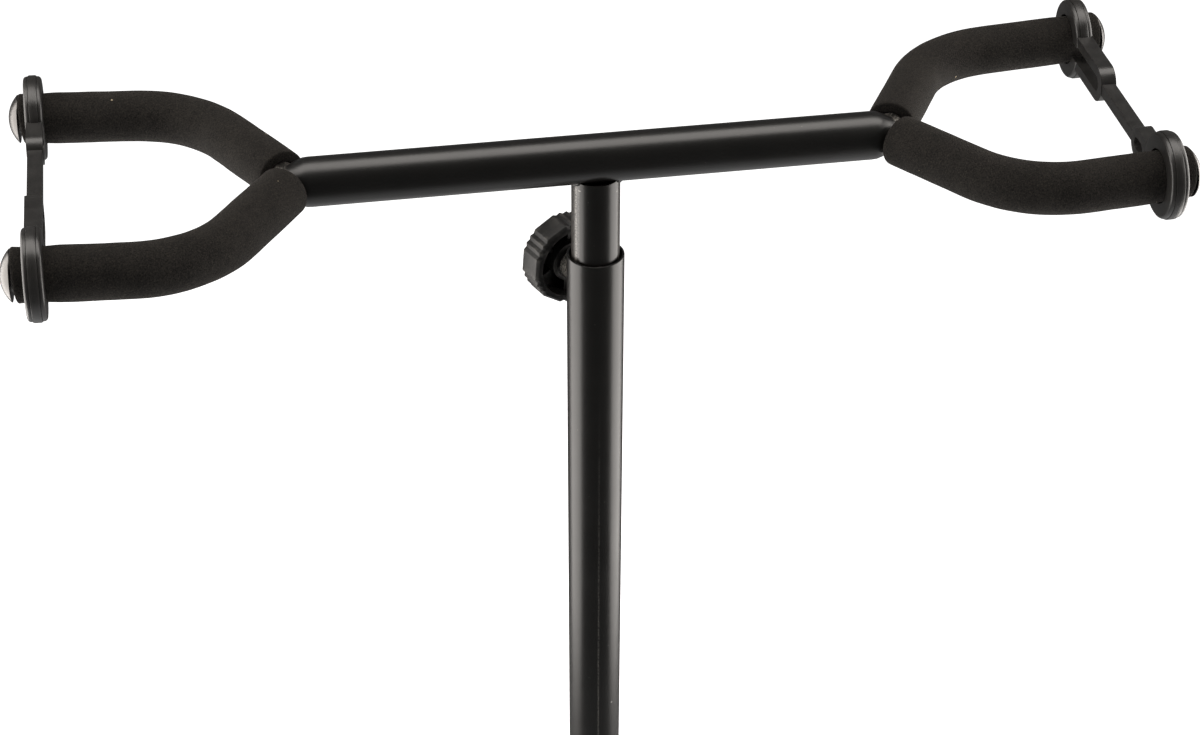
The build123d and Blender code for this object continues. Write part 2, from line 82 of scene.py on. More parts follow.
def worked(piece, kind, **settings):
    """Puts a modifier on the piece and applies it."""
    if bpy.context.mode != "OBJECT":
        bpy.ops.object.mode_set(mode="OBJECT")
    modifier = piece.modifiers.new(kind.lower(), kind)
    for name, value in settings.items():
        setattr(modifier, name, value)
    bpy.context.view_layer.objects.active = piece
    bpy.ops.object.modifier_apply(modifier=modifier.name)


def combine(piece, other, operation):
    """Adds another solid to the piece, or cuts it away, and uses that solid up."""
    worked(piece, "BOOLEAN", operation=operation, solver="EXACT", object=other)
    bpy.data.objects.remove(other)


def settled(piece, name, crease=35):
    """Puts the place into the mesh, merges doubles, turns faces outwards and shades the piece."""
    edit(piece)
    bpy.ops.mesh.select_all(action="SELECT")
    bpy.ops.mesh.remove_doubles(threshold=MERGE)
    bpy.ops.mesh.normals_make_consistent(inside=False)
    bpy.ops.object.mode_set(mode="OBJECT")
    bpy.ops.object.transform_apply(location=True, rotation=True, scale=True)
    bpy.ops.object.shade_smooth_by_angle(angle=radians(crease))
    piece.name = name
    piece.data.name = name
    return piece


def node(tree, kind, feeds=None, **settings):
    """Adds a shader node. feeds gives its sockets a value or another node's output."""
    made = tree.nodes.new(kind)
    for name, value in settings.items():
        setattr(made, name, value)
    for socket, value in (feeds or {}).items():
        if isinstance(value, bpy.types.NodeSocket):
            tree.links.new(value, made.inputs[socket])
        else:
            made.inputs[socket].default_value = value
    return made


def noise(tree, place, scale, detail=2.0, roughness=0.5):
    """A soft grey pattern with this many features to the metre."""
    return node(tree, "ShaderNodeTexNoise", {
        "Vector": place, "Scale": scale, "Detail": detail, "Roughness": roughness,
    }).outputs["Fac"]


def ramp(tree, factor, low, high, to_low=0.0, to_high=1.0):
    """Maps a band of a grey pattern onto another range, clamped."""
    return node(tree, "ShaderNodeMapRange", {
        "Value": factor, "From Min": low, "From Max": high, "To Min": to_low, "To Max": to_high,
    }).outputs["Result"]


def tint(tree, factor, below, above):
    """Mixes two colours by a grey pattern."""
    mixed = node(tree, "ShaderNodeMix", data_type="RGBA")
    tree.links.new(factor, mixed.inputs["Factor"])
    for socket, colour in (("A", below), ("B", above)):
        target = next(s for s in mixed.inputs if s.name == socket and s.type == "RGBA")
        if isinstance(colour, bpy.types.NodeSocket):
            tree.links.new(colour, target)
        else:
            target.default_value = (*colour, 1)
    return next(s for s in mixed.outputs if s.type == "RGBA")


def product(tree, first, second):
    """Two grey patterns multiplied."""
    return node(tree, "ShaderNodeMath", {0: first, 1: second}, operation="MULTIPLY").outputs["Value"]


def specks(tree, place, scale, share, size):
    """Sparse small dots: a share of the pattern's cells holds a dot of up to this size."""
    cells = node(tree, "ShaderNodeTexVoronoi", {"Vector": place, "Scale": scale})
    chance = node(tree, "ShaderNodeSeparateColor", {"Color": cells.outputs["Color"]})
    dot_size = ramp(tree, chance.outputs["Red"], 1 - share, 1, 0, size)
    inside = node(tree, "ShaderNodeMath", {0: dot_size, 1: cells.outputs["Distance"]}, operation="SUBTRACT")
    return ramp(tree, inside.outputs["Value"], 0, size / 4)


def bumped(tree, height, distance, strength=1.0, under=None):
    """Raises the surface by a grey pattern, over an earlier relief if one is given."""
    feeds = {"Height": height, "Distance": distance, "Strength": strength}
    if under:
        feeds["Normal"] = under
    return node(tree, "ShaderNodeBump", feeds).outputs["Normal"]


def new_material(name):
    """A material's node tree, its shader and the place on the object."""
    material = bpy.data.materials.new(name)
    material.use_nodes = True
    tree = material.node_tree
    shader = tree.nodes["Principled BSDF"]
    place = node(tree, "ShaderNodeTexCoord").outputs["Object"]
    return material, tree, shader, place


def satin_paint(name, chipped):
    """Stoved satin black: slight orange peel, dust nibs, faint rubbing, a few small chips, and sharp edges
    painted lighter as worn paint and as a painted highlight.
    """
    material, tree, shader, place = new_material(name)
    cloud = noise(tree, place, 55, 3)
    grain = noise(tree, place, 2400, 2)
    base = tint(tree, cloud, (0.0032, 0.0031, 0.0029), (0.0058, 0.0055, 0.0050))
    nibs = specks(tree, place, 420, 0.10, 0.16)
    base = tint(tree, nibs, base, (0.035, 0.032, 0.028))
    chips = specks(tree, place, 150, chipped, 0.16)
    ragged = noise(tree, place, 1500, 3)
    chips = product(tree, chips, ramp(tree, ragged, 0.42, 0.5))
    base = tint(tree, chips, base, (0.42, 0.40, 0.37))
    # Sharp edges and rims are painted lighter: partly worn paint, partly a painted highlight along the edge.
    corners = node(tree, "ShaderNodeNewGeometry").outputs["Pointiness"]
    worn_edge_and_highlight = product(tree, ramp(tree, corners, 0.54, 0.62), ramp(tree, ragged, 0.40, 0.55))
    base = tint(tree, worn_edge_and_highlight, base, (0.16, 0.15, 0.135))
    tree.links.new(base, shader.inputs["Base Color"])
    rubbed = ramp(tree, noise(tree, place, 23, 5, 0.6), 0.4, 0.7, 0.30, 0.34)
    fine = ramp(tree, grain, 0.3, 0.7, -0.02, 0.02)
    uneven = node(tree, "ShaderNodeMath", {0: rubbed, 1: fine}, operation="ADD")
    tree.links.new(uneven.outputs["Value"], shader.inputs["Roughness"])
    peel = bumped(tree, noise(tree, place, 520, 1), 0.00006, 0.15)
    peel = bumped(tree, grain, 0.00002, 0.12, peel)
    peel = bumped(tree, nibs, 0.00004, 0.35, peel)
    tree.links.new(bumped(tree, chips, -0.0001, 0.6, peel), shader.inputs["Normal"])
    shader.inputs["IOR"].default_value = 1.5
    return material


black_paint = satin_paint("satin_black_paint", 0.012)

bpy.ops.mesh.primitive_cylinder_add(vertices=96, radius=TUBE_R, depth=tube_high.z - tube_low.z,
                                    end_fill_type="NOTHING", location=POLE)
outer_tube = bpy.context.active_object
worked(outer_tube, "SOLIDIFY", thickness=TUBE_WALL, offset=-1)
worked(outer_tube, "BEVEL", width=RIM_ROUND, segments=3, angle_limit=radians(60))
clamp_out = Vector((cos(CLAMP_TURN), sin(CLAMP_TURN), 0))
clamp_foot = Vector((POLE.x, POLE.y, tube_high.z - CLAMP_DROP))
bpy.ops.mesh.primitive_cylinder_add(vertices=32, radius=CLAMP_HOLE_R, depth=TUBE_R,
                                    location=clamp_foot + TUBE_R * clamp_out,
                                    rotation=(0, pi / 2, CLAMP_TURN))
combine(outer_tube, bpy.context.active_object, "DIFFERENCE")
settled(outer_tube, "pole_tube")
outer_tube.data.materials.append(black_paint)
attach(outer_tube, "stand")
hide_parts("outer_tube")

# --- Crossbar --------------------------------------------------------------------------------------
# A 21 mm steel tube, swaged to a smaller diameter at both ends where the prongs are welded on.
# Painted with the stem and the prongs in one piece, after welding.
bar_low, bar_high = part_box("crossbar")
BAR = (bar_low + bar_high) / 2
BAR_R = (bar_high.z - bar_low.z) / 2
BAR_HALF = (bar_high.x - bar_low.x) / 2
BAR_BORE_R = 0.0055
BAR_BORE_DEPTH = 0.02
SWAGE_R = 0.007
SWAGE_STEPS = ((0.0022, 0.985), (0.0022, 0.93), (0.0022, 0.90), (0.0018, 0.90), (0.0016, 0.93))
STRAIGHT_HALF = BAR_HALF - sum(step for step, shrink in SWAGE_STEPS)

bpy.ops.mesh.primitive_cylinder_add(vertices=96, radius=BAR_R, depth=2 * STRAIGHT_HALF,
                                    location=BAR, rotation=(0, pi / 2, 0))
crossbar = bpy.context.active_object
bpy.ops.object.transform_apply(location=True, rotation=True, scale=True)
for side in (-1, 1):
    pick(crossbar, lambda middle, normal: normal.x * side > 0.9)
    for step, shrink in SWAGE_STEPS:
        bpy.ops.mesh.extrude_region_move(TRANSFORM_OT_translate={"value": (side * step, 0, 0)})
        bpy.ops.transform.resize(value=(1, shrink, shrink), center_override=BAR)
    bpy.ops.mesh.inset(thickness=SWAGE_R - BAR_BORE_R)
    bpy.ops.mesh.extrude_region_move(TRANSFORM_OT_translate={"value": (-side * BAR_BORE_DEPTH, 0, 0)})
settled(crossbar, "crossbar_tube", 50)
crossbar.data.materials.append(black_paint)
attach(crossbar, "head")
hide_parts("crossbar")

# --- Stem ------------------------------------------------------------------------------------------
# The sliding tube under the crossbar, in the same satin black. It is cut square, notched a little to
# take the crossbar, and welded at its two sides, so a dark gap stays open at the front and the back.
stem_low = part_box("stem")[0]
STEM_R = 0.0105
STEM_WALL = 0.0012
STEM_EDGE = 0.0002
STEM_TOP_DROP = 0.008
STEM_TOP = BAR.z - STEM_TOP_DROP
BUSH_ROOM = 0.0226
STEM_BEAD_Z = stem_low.z + BUSH_ROOM
STEM_BEAD_WIDTH = 0.003
STEM_BEAD_STAND = 0.0006
CHIPS_START = (0.0062, 0.0050)
CHIPS_END = (0.0030, 0.0040)

bpy.ops.mesh.primitive_cylinder_add(vertices=96, radius=STEM_R, depth=STEM_TOP - stem_low.z,
                                    end_fill_type="NOTHING",
                                    location=(POLE.x, POLE.y, (STEM_TOP + stem_low.z) / 2))
stem = bpy.context.active_object
bpy.ops.object.transform_apply(location=True, rotation=True, scale=True)
bead_top = STEM_BEAD_Z + STEM_BEAD_WIDTH
for cut_z in (STEM_BEAD_Z, bead_top):
    edit(stem)
    bpy.ops.mesh.select_all(action="SELECT")
    bpy.ops.mesh.bisect(plane_co=(0, 0, cut_z), plane_no=(0, 0, 1))
pick(stem, lambda middle, normal: STEM_BEAD_Z < middle.z < bead_top)
swell = 1 + STEM_BEAD_STAND / STEM_R
bpy.ops.transform.resize(value=(swell, swell, 1), center_override=(POLE.x, POLE.y, 0))
worked(stem, "SOLIDIFY", thickness=STEM_WALL, offset=-1)
worked(stem, "BEVEL", width=STEM_EDGE, segments=2, angle_limit=radians(60))
bpy.ops.mesh.primitive_cylinder_add(vertices=96, radius=BAR_R, depth=4 * STEM_R, location=BAR,
                                    rotation=(0, pi / 2, 0))
combine(stem, bpy.context.active_object, "DIFFERENCE")
settled(stem, "stem_tube")
stem_paint = satin_paint("satin_black_paint_stem", 0.05)
tree = stem_paint.node_tree
place = node(tree, "ShaderNodeTexCoord").outputs["Object"]
height = node(tree, "ShaderNodeSeparateXYZ", {"Vector": place}).outputs["Z"]
near_top = ramp(tree, height, *(STEM_TOP - drop for drop in CHIPS_START))
below_cut = ramp(tree, height, *(STEM_TOP - drop for drop in CHIPS_END))
chipped = product(tree, near_top, below_cut)
chipped = product(tree, chipped, specks(tree, place, 260, 0.5, 0.30))
shader = tree.nodes["Principled BSDF"]
painted = shader.inputs["Base Color"].links[0].from_socket
tree.links.new(tint(tree, chipped, painted, (0.46, 0.44, 0.40)), shader.inputs["Base Color"])
stem.data.materials.append(stem_paint)
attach(stem, "head")
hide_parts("stem")

# --- Welds -----------------------------------------------------------------------------------------
# Small rippled beads, painted over: one on each side of the stem's notch, and one round each swaged
# end where the two prongs leave it.
BEAD_R = 0.0009
BEAD_SPAN = radians(80)
BEAD_STEPS = 24
SADDLE_REACH = 0.0075
YOKE_WELD_IN = 0.0035
YOKE_WELD_STAND = 0.0004
RIPPLE = 0.00022
RIPPLE_LENGTH = 0.0016


def rippled(bead, name):
    """Gives a weld bead its overlapping ripples and its uneven width."""
    waves = bpy.data.textures.new(name + "_ripple", "CLOUDS")
    waves.noise_scale = RIPPLE_LENGTH
    worked(bead, "SUBSURF", levels=1, render_levels=1)
    worked(bead, "DISPLACE", texture=waves, texture_coords="LOCAL", strength=RIPPLE, mid_level=0.5)
    settled(bead, name, 60)
    bead.data.materials.append(black_paint)
    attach(bead, "head")


for side, side_name in ((-1, "left"), (1, "right")):
    first = (pi if side < 0 else 0) + BEAD_SPAN / 2
    bead_at = (POLE.x + STEM_R * cos(first), POLE.y + STEM_R * sin(first), STEM_TOP)
    bpy.ops.mesh.primitive_circle_add(vertices=10, radius=BEAD_R, fill_type="NGON",
                                      rotation=(pi / 2, 0, first), location=bead_at)
    bead = bpy.context.active_object
    bpy.ops.object.transform_apply(location=True, rotation=True, scale=True)
    edit(bead)
    bpy.ops.mesh.select_all(action="SELECT")
    bpy.ops.mesh.spin(steps=BEAD_STEPS, angle=BEAD_SPAN, center=(POLE.x, POLE.y, 0), axis=(0, 0, 1))
    bpy.ops.object.mode_set(mode="OBJECT")
    for corner in bead.data.vertices:
        across = min(abs(corner.co.y - POLE.y), SADDLE_REACH)
        corner.co.z -= sqrt(BAR_R ** 2 - across ** 2) - STEM_TOP_DROP
    rippled(bead, "stem_weld_" + side_name)

    bead_at = (BAR.x + side * (BAR_HALF - YOKE_WELD_IN), BAR.y, BAR.z)
    bpy.ops.mesh.primitive_torus_add(major_segments=72, minor_segments=10,
                                     major_radius=SWAGE_R + YOKE_WELD_STAND, minor_radius=BEAD_R,
                                     rotation=(0, pi / 2, 0), location=bead_at)
    rippled(bpy.context.active_object, "yoke_weld_" + side_name)

# --- Foam sleeves ----------------------------------------------------------------------------------
# Closed-cell foam tube pushed over each bent prong, cut square at the weld and a little slanted at
# the tip. It is matt and finely pored, holds some dust, and is pressed in where the strap's ring sits.
YOKE_START = 0.1273
YOKE_TURN = radians(59)
YOKE_HALF = 0.065
YOKE_BEND_R = 0.0468
YOKE_TILT = radians(3.3)
YOKE_REACH = 0.240
YOKE_TIP = YOKE_REACH - YOKE_START
YOKE_TIPS = {"left_front": 0.2366, "left_back": 0.2402, "right_front": 0.2369, "right_back": 0.2466}
FOAM_R = 0.011
FOAM_BORE_R = 0.006
FOAM_FROM = 0.008
FOAM_EDGE = 0.0008
FOAM_UNEVEN = 0.0005
FOAM_LUMP = 0.018
LUMP_STEP = 0.002
FOAM_END_SLANT = 0.10
FOAM_SLANT_POWER = 8
FOAM_RUN_STEPS = 10
FOAM_BEND_STEPS = 24
FOAM_LAST_STEPS = 26
RINGS_AT = {"left_front": 0.2281, "left_back": 0.2335, "right_front": 0.2274, "right_back": 0.2368}
RING_PRESS = 0.0005
RING_PRESS_RUN = 0.009
OUTER_SKIN = FOAM_BORE_R + 0.001


def onto_yoke(piece, side, depth):
    """Carries a piece drawn at the point of the V out to its yoke and its side of it."""
    place = Matrix.Translation((POLE.x, BAR.y, BAR.z)) @ Matrix.Diagonal((side, depth, 1, 1))
    place = place @ Matrix.Translation((YOKE_START, 0, 0)) @ Matrix.Rotation(-YOKE_TILT, 4, "Y")
    piece.data.transform(place)
    piece.data.update()


def foam_material():
    """Charcoal foam: soft mottling, pores painted darker in their hollows as painted shade and lighter on
    their tops, pale dust and a brush of sheen on the grazing parts.
    """
    material, tree, shader, place = new_material("yoke_foam")
    mottle = noise(tree, place, 90, 4, 0.6)
    pores = noise(tree, place, 1700, 3, 0.65)
    base = tint(tree, ramp(tree, mottle, 0.35, 0.7), (0.0085, 0.0078, 0.0071), (0.0135, 0.0122, 0.0109))
    # The pores' hollows in the bump are painted darker as painted shade, and their tops a little lighter.
    base = tint(tree, ramp(tree, pores, 0.50, 0.72), base, (0.024, 0.021, 0.0175))
    base = tint(tree, ramp(tree, pores, 0.46, 0.34), base, (0.0035, 0.0032, 0.0029))
    dust = specks(tree, place, 330, 0.035, 0.16)
    base = tint(tree, dust, base, (0.30, 0.25, 0.17))
    lint = specks(tree, place, 140, 0.02, 0.06)
    base = tint(tree, lint, base, (0.42, 0.40, 0.37))
    tree.links.new(base, shader.inputs["Base Color"])
    shader.inputs["Roughness"].default_value = 0.95
    shader.inputs["Specular IOR Level"].default_value = 0.12
    shader.inputs["Sheen Weight"].default_value = 0.02
    shader.inputs["Sheen Roughness"].default_value = 0.4
    shader.inputs["Sheen Tint"].default_value = (1.0, 0.93, 0.85, 1)
    skin = bumped(tree, mottle, 0.0006, 0.25)
    tree.links.new(bumped(tree, pores, 0.00035, 0.8, skin), shader.inputs["Normal"])
    return material


yoke_foam = foam_material()
run_turn = Vector((cos(YOKE_TURN), sin(YOKE_TURN), 0))
bend_corner = Vector((YOKE_HALF / tan(YOKE_TURN), YOKE_HALF, 0))
tangent = YOKE_BEND_R * tan(YOKE_TURN / 2)
bend_start = bend_corner - tangent * run_turn
bend_centre = Vector((bend_corner.x + tangent, YOKE_HALF - YOKE_BEND_R, 0))
first_run = bend_start - FOAM_FROM * run_turn
last_run = YOKE_TIP - bend_centre.x

bpy.ops.mesh.primitive_circle_add(vertices=64, radius=FOAM_R, location=FOAM_FROM * run_turn,
                                  rotation=(0, pi / 2, YOKE_TURN))
foam = bpy.context.active_object
bpy.ops.object.transform_apply(location=True, rotation=True, scale=True)
edit(foam)
bpy.ops.mesh.select_mode(type="EDGE")
bpy.ops.mesh.select_all(action="SELECT")
for step in range(FOAM_RUN_STEPS):
    bpy.ops.mesh.extrude_region_move(TRANSFORM_OT_translate={"value": first_run / FOAM_RUN_STEPS})
bpy.ops.mesh.spin(steps=FOAM_BEND_STEPS, angle=YOKE_TURN, center=bend_centre, axis=(0, 0, 1))
for step in range(FOAM_LAST_STEPS):
    bpy.ops.mesh.extrude_region_move(TRANSFORM_OT_translate={"value": (last_run / FOAM_LAST_STEPS, 0, 0)})
bpy.ops.mesh.select_all(action="SELECT")
bpy.ops.mesh.remove_doubles(threshold=MERGE)
bpy.ops.mesh.normals_make_consistent(inside=False)
worked(foam, "SOLIDIFY", thickness=FOAM_R - FOAM_BORE_R, offset=-1)
worked(foam, "BEVEL", width=FOAM_EDGE, segments=3, angle_limit=radians(60))
settled(foam, "foam_master", 50)

LABELS = [(side, depth, ("left" if side < 0 else "right") + ("_front" if depth < 0 else "_back"))
          for side in (-1, 1) for depth in (-1, 1)]


def copied(master, name, side, depth, change=None):
    """A copy with its own mesh, changed a little, carried to its place on the yoke."""
    piece = bpy.data.objects.new(name, master.data.copy())
    bpy.context.scene.collection.objects.link(piece)
    if change:
        for corner in piece.data.vertices:
            change(corner.co)
    onto_yoke(piece, side, depth)
    return settled(piece, name, 50)


def fitted(spot, label):
    """Stretches the last run to this prong's tip, slants its cut and presses it at the ring."""
    far = max(0.0, (spot.x - bend_centre.x) / last_run)
    spot.x += far * (YOKE_TIPS[label] - YOKE_REACH)
    spot.x -= far ** FOAM_SLANT_POWER * FOAM_END_SLANT * (FOAM_R - spot.z)
    near = max(0.0, 1 - abs(spot.x - (RINGS_AT[label] - YOKE_START)) / RING_PRESS_RUN)
    outwards = Vector((0, spot.y - YOKE_HALF, spot.z))
    if far > 0 and outwards.length > OUTER_SKIN:
        spot -= RING_PRESS * near * outwards.normalized()


def foam_surface(piece, label, lump):
    """Makes a foam tube slightly lumpy and gives it its foam."""
    lumps = bpy.data.textures.new("foam_lumps_" + label, "CLOUDS")
    lumps.noise_scale = lump
    worked(piece, "DISPLACE", texture=lumps, texture_coords="LOCAL", strength=FOAM_UNEVEN, mid_level=0.5)
    piece.data.materials.append(yoke_foam)


for number, (side, depth, label) in enumerate(LABELS):
    piece = copied(foam, "foam_" + label, side, depth, lambda spot: fitted(spot, label))
    foam_surface(piece, label, FOAM_LUMP + LUMP_STEP * number)
    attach(piece, "head")
    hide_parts("foam_sleeve_" + label)
bpy.data.objects.remove(foam)

# --- End caps --------------------------------------------------------------------------------------
# Domed caps moulded in plastic, with a silver grey metallic finish. Each has a round spigot, which is
# pressed into its prong's open end and keeps the foam on.
CAP_R = 0.0106
CAP_HEIGHT = 0.0044
CAP_SPIGOT_R = 0.0045
CAP_SPIGOT = 0.012
CAP_BALL_R = (CAP_R ** 2 + CAP_HEIGHT ** 2) / (2 * CAP_HEIGHT)
CAP_LIP = 0.0003


def cap_material():
    """Silver grey finish: faintly cloudy, with small darker marks."""
    material, tree, shader, place = new_material("cap_silver_grey")
    cloud = noise(tree, place, 300, 3)
    marks = noise(tree, place, 1400, 4, 0.7)
    base = tint(tree, cloud, (0.085, 0.082, 0.080), (0.115, 0.111, 0.108))
    base = tint(tree, ramp(tree, marks, 0.62, 0.75), base, (0.06, 0.058, 0.056))
    tree.links.new(base, shader.inputs["Base Color"])
    tree.links.new(ramp(tree, marks, 0.3, 0.7, 0.24, 0.36), shader.inputs["Roughness"])
    tree.links.new(bumped(tree, marks, 0.00003, 0.4), shader.inputs["Normal"])
    shader.inputs["Metallic"].default_value = 1.0
    return material


cap_grey = cap_material()
bpy.ops.mesh.primitive_uv_sphere_add(segments=64, ring_count=64, radius=CAP_BALL_R,
                                     location=(YOKE_TIP + CAP_HEIGHT - CAP_BALL_R, YOKE_HALF, 0),
                                     rotation=(0, pi / 2, 0))
cap = bpy.context.active_object
bpy.ops.object.transform_apply(location=True, rotation=True, scale=True)
edit(cap)
bpy.ops.mesh.select_all(action="SELECT")
bpy.ops.mesh.bisect(plane_co=(YOKE_TIP + CAP_LIP, 0, 0), plane_no=(1, 0, 0), use_fill=True, clear_inner=True)
pick(cap, lambda middle, normal: normal.x < -0.9)
bpy.ops.mesh.extrude_region_move(TRANSFORM_OT_translate={"value": (-CAP_LIP, 0, 0)})
bpy.ops.mesh.inset(thickness=CAP_R - CAP_SPIGOT_R)
bpy.ops.mesh.extrude_region_move(TRANSFORM_OT_translate={"value": (-CAP_SPIGOT, 0, 0)})
settled(cap, "cap_master", 40)
for side, depth, label in LABELS:
    to_tip = Matrix.Translation((YOKE_TIPS[label] - YOKE_REACH, 0, 0))
    cap.data.transform(to_tip)
    piece = copied(cap, "end_cap_" + label, side, depth)
    cap.data.transform(to_tip.inverted())
    piece.data.materials.append(cap_grey)
    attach(piece, "head")
    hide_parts("dome_cap_" + label)
bpy.data.objects.remove(cap)

# --- Prongs ----------------------------------------------------------------------------------------
# Bent 12 mm steel tubes, mitred together in a V and welded to the crossbar's ends, in the same satin
# black. Only their roots show, where the foam stops.
for side, depth, label in LABELS:
    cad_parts["prong_" + label].material_slots[0].material = black_paint

# --- Neck straps -----------------------------------------------------------------------------------
# One moulded rubber part each: ring, slotted link, flat bar, small slotted link, ring. The rings have
# a raised band between two rounded flanges. Each strap is stretched over the ends of its two prongs.
STRAP_HALF = 0.0038
RING_BORE_R = 0.0115
RING_CLEAR_R = 0.0125
FLANGE_R = 0.0180
FLANGE_ROUND = 0.0015
BAND_STEPS = ((0.0003, 0), (0.0001, -0.00015), (0.00012, 0.0004), (0.0005, 0.00022))
STRAP_PLACES = {"left": (0.2308, radians(2.4)), "right": (0.2321, radians(4.1))}
RING_HALF = 0.0651
LINK_AT = 0.020
LINK_R = 0.0082
LINK_HALF = 0.0034
LINK_ROUND = 0.0013
SLOT_R = 0.0036
BAR_HALF_HEIGHT = 0.0028
BAR_HALF_WIDTH = 0.0031
BAR_ROUND = 0.0004
BAR_INTO_LINK = 0.006
BAR_INTO_SMALL_LINK = 0.004
SMALL_LINK_AT = -0.0365
SMALL_LINK_R = 0.0066
SMALL_LINK_ROUND = 0.0011
SMALL_SLOT_R = 0.0026
SMALL_SLOT_RUN = 0.005


def rubber_material():
    """Moulded black rubber: satin, slightly grey with bloom, with flow marks and handling dust."""
    material, tree, shader, place = new_material("strap_rubber")
    bloom = noise(tree, place, 120, 4, 0.6)
    grain = noise(tree, place, 1500, 3)
    base = tint(tree, ramp(tree, bloom, 0.3, 0.75), (0.0100, 0.0096, 0.0091), (0.0170, 0.0163, 0.0154))
    base = tint(tree, specks(tree, place, 400, 0.04, 0.14), base, (0.16, 0.14, 0.11))
    tree.links.new(base, shader.inputs["Base Color"])
    tree.links.new(ramp(tree, bloom, 0.3, 0.7, 0.29, 0.38), shader.inputs["Roughness"])
    skin = bumped(tree, bloom, 0.0003, 0.12)
    tree.links.new(bumped(tree, grain, 0.00003, 0.5, skin), shader.inputs["Normal"])
    shader.inputs["IOR"].default_value = 1.5
    return material


def disc(radius, half, at, corners=64):
    """A flat round solid at a place along X."""
    bpy.ops.mesh.primitive_cylinder_add(vertices=corners, radius=radius, depth=2 * half, location=(at, 0, 0))
    made = bpy.context.active_object
    bpy.ops.object.transform_apply(location=True, rotation=True, scale=True)
    return made


def block(start, end, half_height, half):
    """A straight solid from one place along X to another."""
    bpy.ops.mesh.primitive_cube_add(size=1, location=((start + end) / 2, 0, 0),
                                    scale=(end - start, 2 * half_height, 2 * half))
    made = bpy.context.active_object
    bpy.ops.object.transform_apply(location=True, rotation=True, scale=True)
    return made


def strap_ring(at):
    """A ring with a rounded flange at each face and a raised band between two fine grooves."""
    ring = disc(FLANGE_R, STRAP_HALF, at, 96)
    pick(ring, lambda middle, normal: abs(normal.z) > 0.9)
    bpy.ops.mesh.bevel(offset=FLANGE_ROUND, segments=6, affect="EDGES")
    pick(ring, lambda middle, normal: abs(normal.z) < 0.1)
    for thickness, depth in BAND_STEPS:
        bpy.ops.mesh.inset(thickness=thickness, depth=depth, use_even_offset=False)
    bpy.ops.object.mode_set(mode="OBJECT")
    combine(ring, disc(RING_BORE_R, 2 * STRAP_HALF, at, 96), "DIFFERENCE")
    return ring


strap_rubber = rubber_material()
strap = disc(LINK_R, LINK_HALF, LINK_AT)
combine(strap, block(LINK_AT, RING_HALF, LINK_R, LINK_HALF), "UNION")
combine(strap, disc(RING_CLEAR_R, 2 * STRAP_HALF, RING_HALF, 96), "DIFFERENCE")
combine(strap, disc(SLOT_R, 2 * STRAP_HALF, LINK_AT, 48), "DIFFERENCE")
combine(strap, block(LINK_AT, RING_HALF, SLOT_R, 2 * STRAP_HALF), "DIFFERENCE")
worked(strap, "BEVEL", width=LINK_ROUND, segments=4, angle_limit=radians(50))
small_link = disc(SMALL_LINK_R, LINK_HALF, SMALL_LINK_AT)
combine(small_link, block(-RING_HALF, SMALL_LINK_AT, SMALL_LINK_R, LINK_HALF), "UNION")
combine(small_link, disc(RING_CLEAR_R, 2 * STRAP_HALF, -RING_HALF, 96), "DIFFERENCE")
small_end = SMALL_LINK_AT - SMALL_SLOT_RUN
combine(small_link, disc(SMALL_SLOT_R, 2 * STRAP_HALF, SMALL_LINK_AT, 48), "DIFFERENCE")
combine(small_link, disc(SMALL_SLOT_R, 2 * STRAP_HALF, small_end, 48), "DIFFERENCE")
combine(small_link, block(small_end, SMALL_LINK_AT, SMALL_SLOT_R, 2 * STRAP_HALF), "DIFFERENCE")
worked(small_link, "BEVEL", width=SMALL_LINK_ROUND, segments=4, angle_limit=radians(50))
middle_bar = block(SMALL_LINK_AT + BAR_INTO_SMALL_LINK, LINK_AT - BAR_INTO_LINK,
                   BAR_HALF_HEIGHT, BAR_HALF_WIDTH)
worked(middle_bar, "BEVEL", width=BAR_ROUND, segments=2, angle_limit=radians(50))
combine(strap, middle_bar, "UNION")
combine(strap, small_link, "UNION")
for at in (-RING_HALF, RING_HALF):
    ring = strap_ring(at)
    if at > 0:
        combine(ring, block(LINK_AT, at, SLOT_R, 2 * STRAP_HALF), "DIFFERENCE")
    combine(strap, ring, "UNION")
settled(strap, "strap_master", 32)
stand_up = Matrix(((0, 0, 1, 0), (1, 0, 0, 0), (0, 1, 0, 0), (0, 0, 0, 1)))
for side, side_name in ((-1, "left"), (1, "right")):
    strap_at, skew = STRAP_PLACES[side_name]
    turned = Matrix.Rotation(-side * skew, 4, "Z") @ stand_up
    askew = Matrix.Translation((strap_at - YOKE_START, 0, 0)) @ turned
    strap.data.transform(askew)
    piece = copied(strap, "strap_" + side_name, side, side)
    strap.data.transform(askew.inverted())
    piece.data.materials.append(strap_rubber)
    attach(piece, "strap_" + side_name)
    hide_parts("neck_strap_" + side_name)
bpy.data.objects.remove(strap)

# --- Clamp knobs -----------------------------------------------------------------------------------
# Moulded nylon knobs, open towards the pole: six flats, ridges between them for the fingers, and a
# boss in the hollow that holds the screw. The collar's knob is the same shape, a size smaller.
KNOB_SIDES = 6
KNOB_CORNERS = 72
FLAT_CORNERS = 6
FLAT_START = 3
KNOB_RIDGE = 0.0009
KNOB_CHAMFER = 0.0012
KNOB_EDGE = 0.00018
KNOB_WALL = 0.0028
KNOB_FACE = 0.003
BOSS_R = 0.0095
BOSS_RECESS = 0.002
BOSS_EDGE = 0.0003
DISH_RIM = 0.0016
DISH_DEPTH = 0.0008
RIB_HALF = 0.0008
RIB_INTO = 0.001
JOIN = 0.0005
SCREW_BORE_R = 0.00405
HEIGHT_KNOB_R = 0.0200
HEIGHT_KNOB_LENGTH = 0.0135
HEIGHT_KNOB_GAP = 0.0051
HEIGHT_KNOB_TURN = radians(35)
COLLAR_R = 0.018
COLLAR_KNOB_R = 0.015
COLLAR_KNOB_LENGTH = 0.012
COLLAR_KNOB_GAP = 0.0044
COLLAR_CLAMP_TURN = radians(270)


